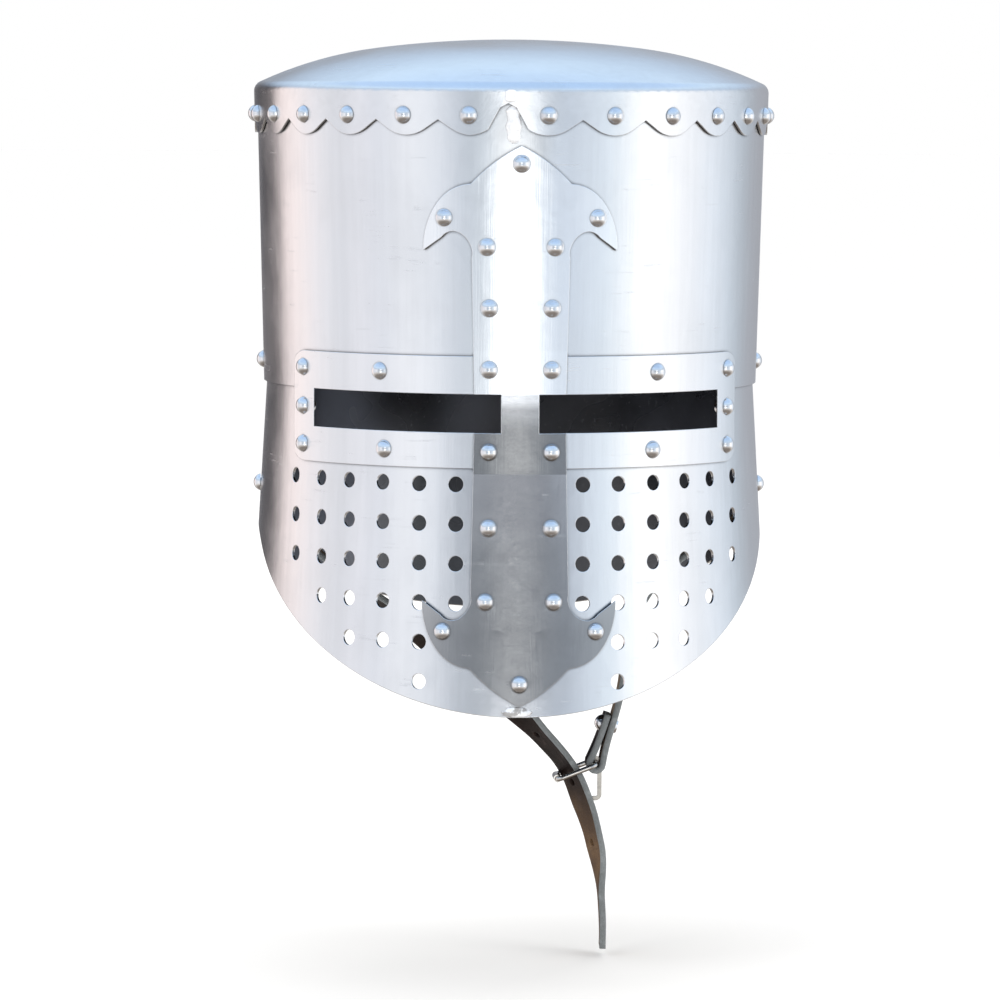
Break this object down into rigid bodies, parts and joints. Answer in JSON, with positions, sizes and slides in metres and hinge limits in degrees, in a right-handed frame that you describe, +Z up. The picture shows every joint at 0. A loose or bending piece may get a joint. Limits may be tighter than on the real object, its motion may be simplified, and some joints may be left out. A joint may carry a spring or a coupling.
{
  "type": "knight helmet",
  "caption": "Flat-topped riveted great helm with cross-shaped reinforcement, eye slots, breath holes, leather liner and buckled chin strap.",
  "frame": {"origin": "the head seat: the point on the helm's centre line where the top of the head meets the lace ring of the liner, 37 mm below the crown edge", "axes": "+Z up through the crown, -Y the way the wearer looks, +X the wearer's left"},
  "size_m": [0.2465, 0.2899, 0.4281],
  "materials": {
    "shell_steel": "satin polished sheet with faint grinding marks",
    "plate_steel": "brushed along the length of the plate",
    "rivet_steel": "polished",
    "liner_leather": "matt vegetable-tanned leather",
    "lace_cord": "waxed cotton cord",
    "strap_leather": "waxed dark brown leather with raw edges",
    "buckle_steel": "nickel plated"
  },
  "bodies": {
    "helmet": {"crown_plate": "shell_steel", "skull_shell": "shell_steel", "face_shell": "shell_steel", "sight_plate_left": "plate_steel", "sight_plate_right": "plate_steel", "cross_plate": "plate_steel", "crown_rivets": "rivet_steel", "waist_rivets": "rivet_steel", "sight_rivets_left": "rivet_steel", "sight_rivets_right": "rivet_steel", "cross_rivets": "rivet_steel", "liner_washers": "rivet_steel", "strap_rivets": "rivet_steel", "liner_band": "liner_leather", "liner_tongue_1": "liner_leather", "liner_tongue_2": "liner_leather", "liner_tongue_3": "liner_leather", "liner_tongue_4": "liner_leather", "liner_tongue_5": "liner_leather", "liner_tongue_6": "liner_leather", "liner_tongue_7": "liner_leather", "liner_tongue_8": "liner_leather", "liner_lace": "lace_cord"},
    "chin_strap": {"chin_strap_long": "strap_leather", "chin_strap_short": "strap_leather", "strap_fold_rivet": "rivet_steel"},
    "buckle_frame": {"buckle_frame": "buckle_steel"},
    "buckle_roller": {"buckle_roller": "buckle_steel"},
    "buckle_prong": {"buckle_prong": "buckle_steel"}
  },
  "joints": [
    {"name": "chin_strap_swing", "type": "hinge", "parent": "helmet", "child": "chin_strap", "pos_m": [0, 0, -0.15], "axis": [1, 0, 0], "range_deg": [-45, 45]},
    {"name": "buckle_frame_tilt", "type": "hinge", "parent": "chin_strap", "child": "buckle_frame", "pos_m": [0.0414, 0, -0.2825], "axis": [0, 1, 0], "range_deg": [-8, 2.5], "stiffness_Nm_per_rad": 0.05},
    {"name": "buckle_roller_spin", "type": "hinge", "parent": "buckle_frame", "child": "buckle_roller", "pos_m": [0.0233, 0, -0.2895], "axis": [0, 1, 0], "continuous": true},
    {"name": "buckle_prong_swing", "type": "hinge", "parent": "buckle_frame", "child": "buckle_prong", "pos_m": [0.0414, 0, -0.2825], "axis": [0, -1, 0], "range_deg": [-6, 110]}
  ]
}
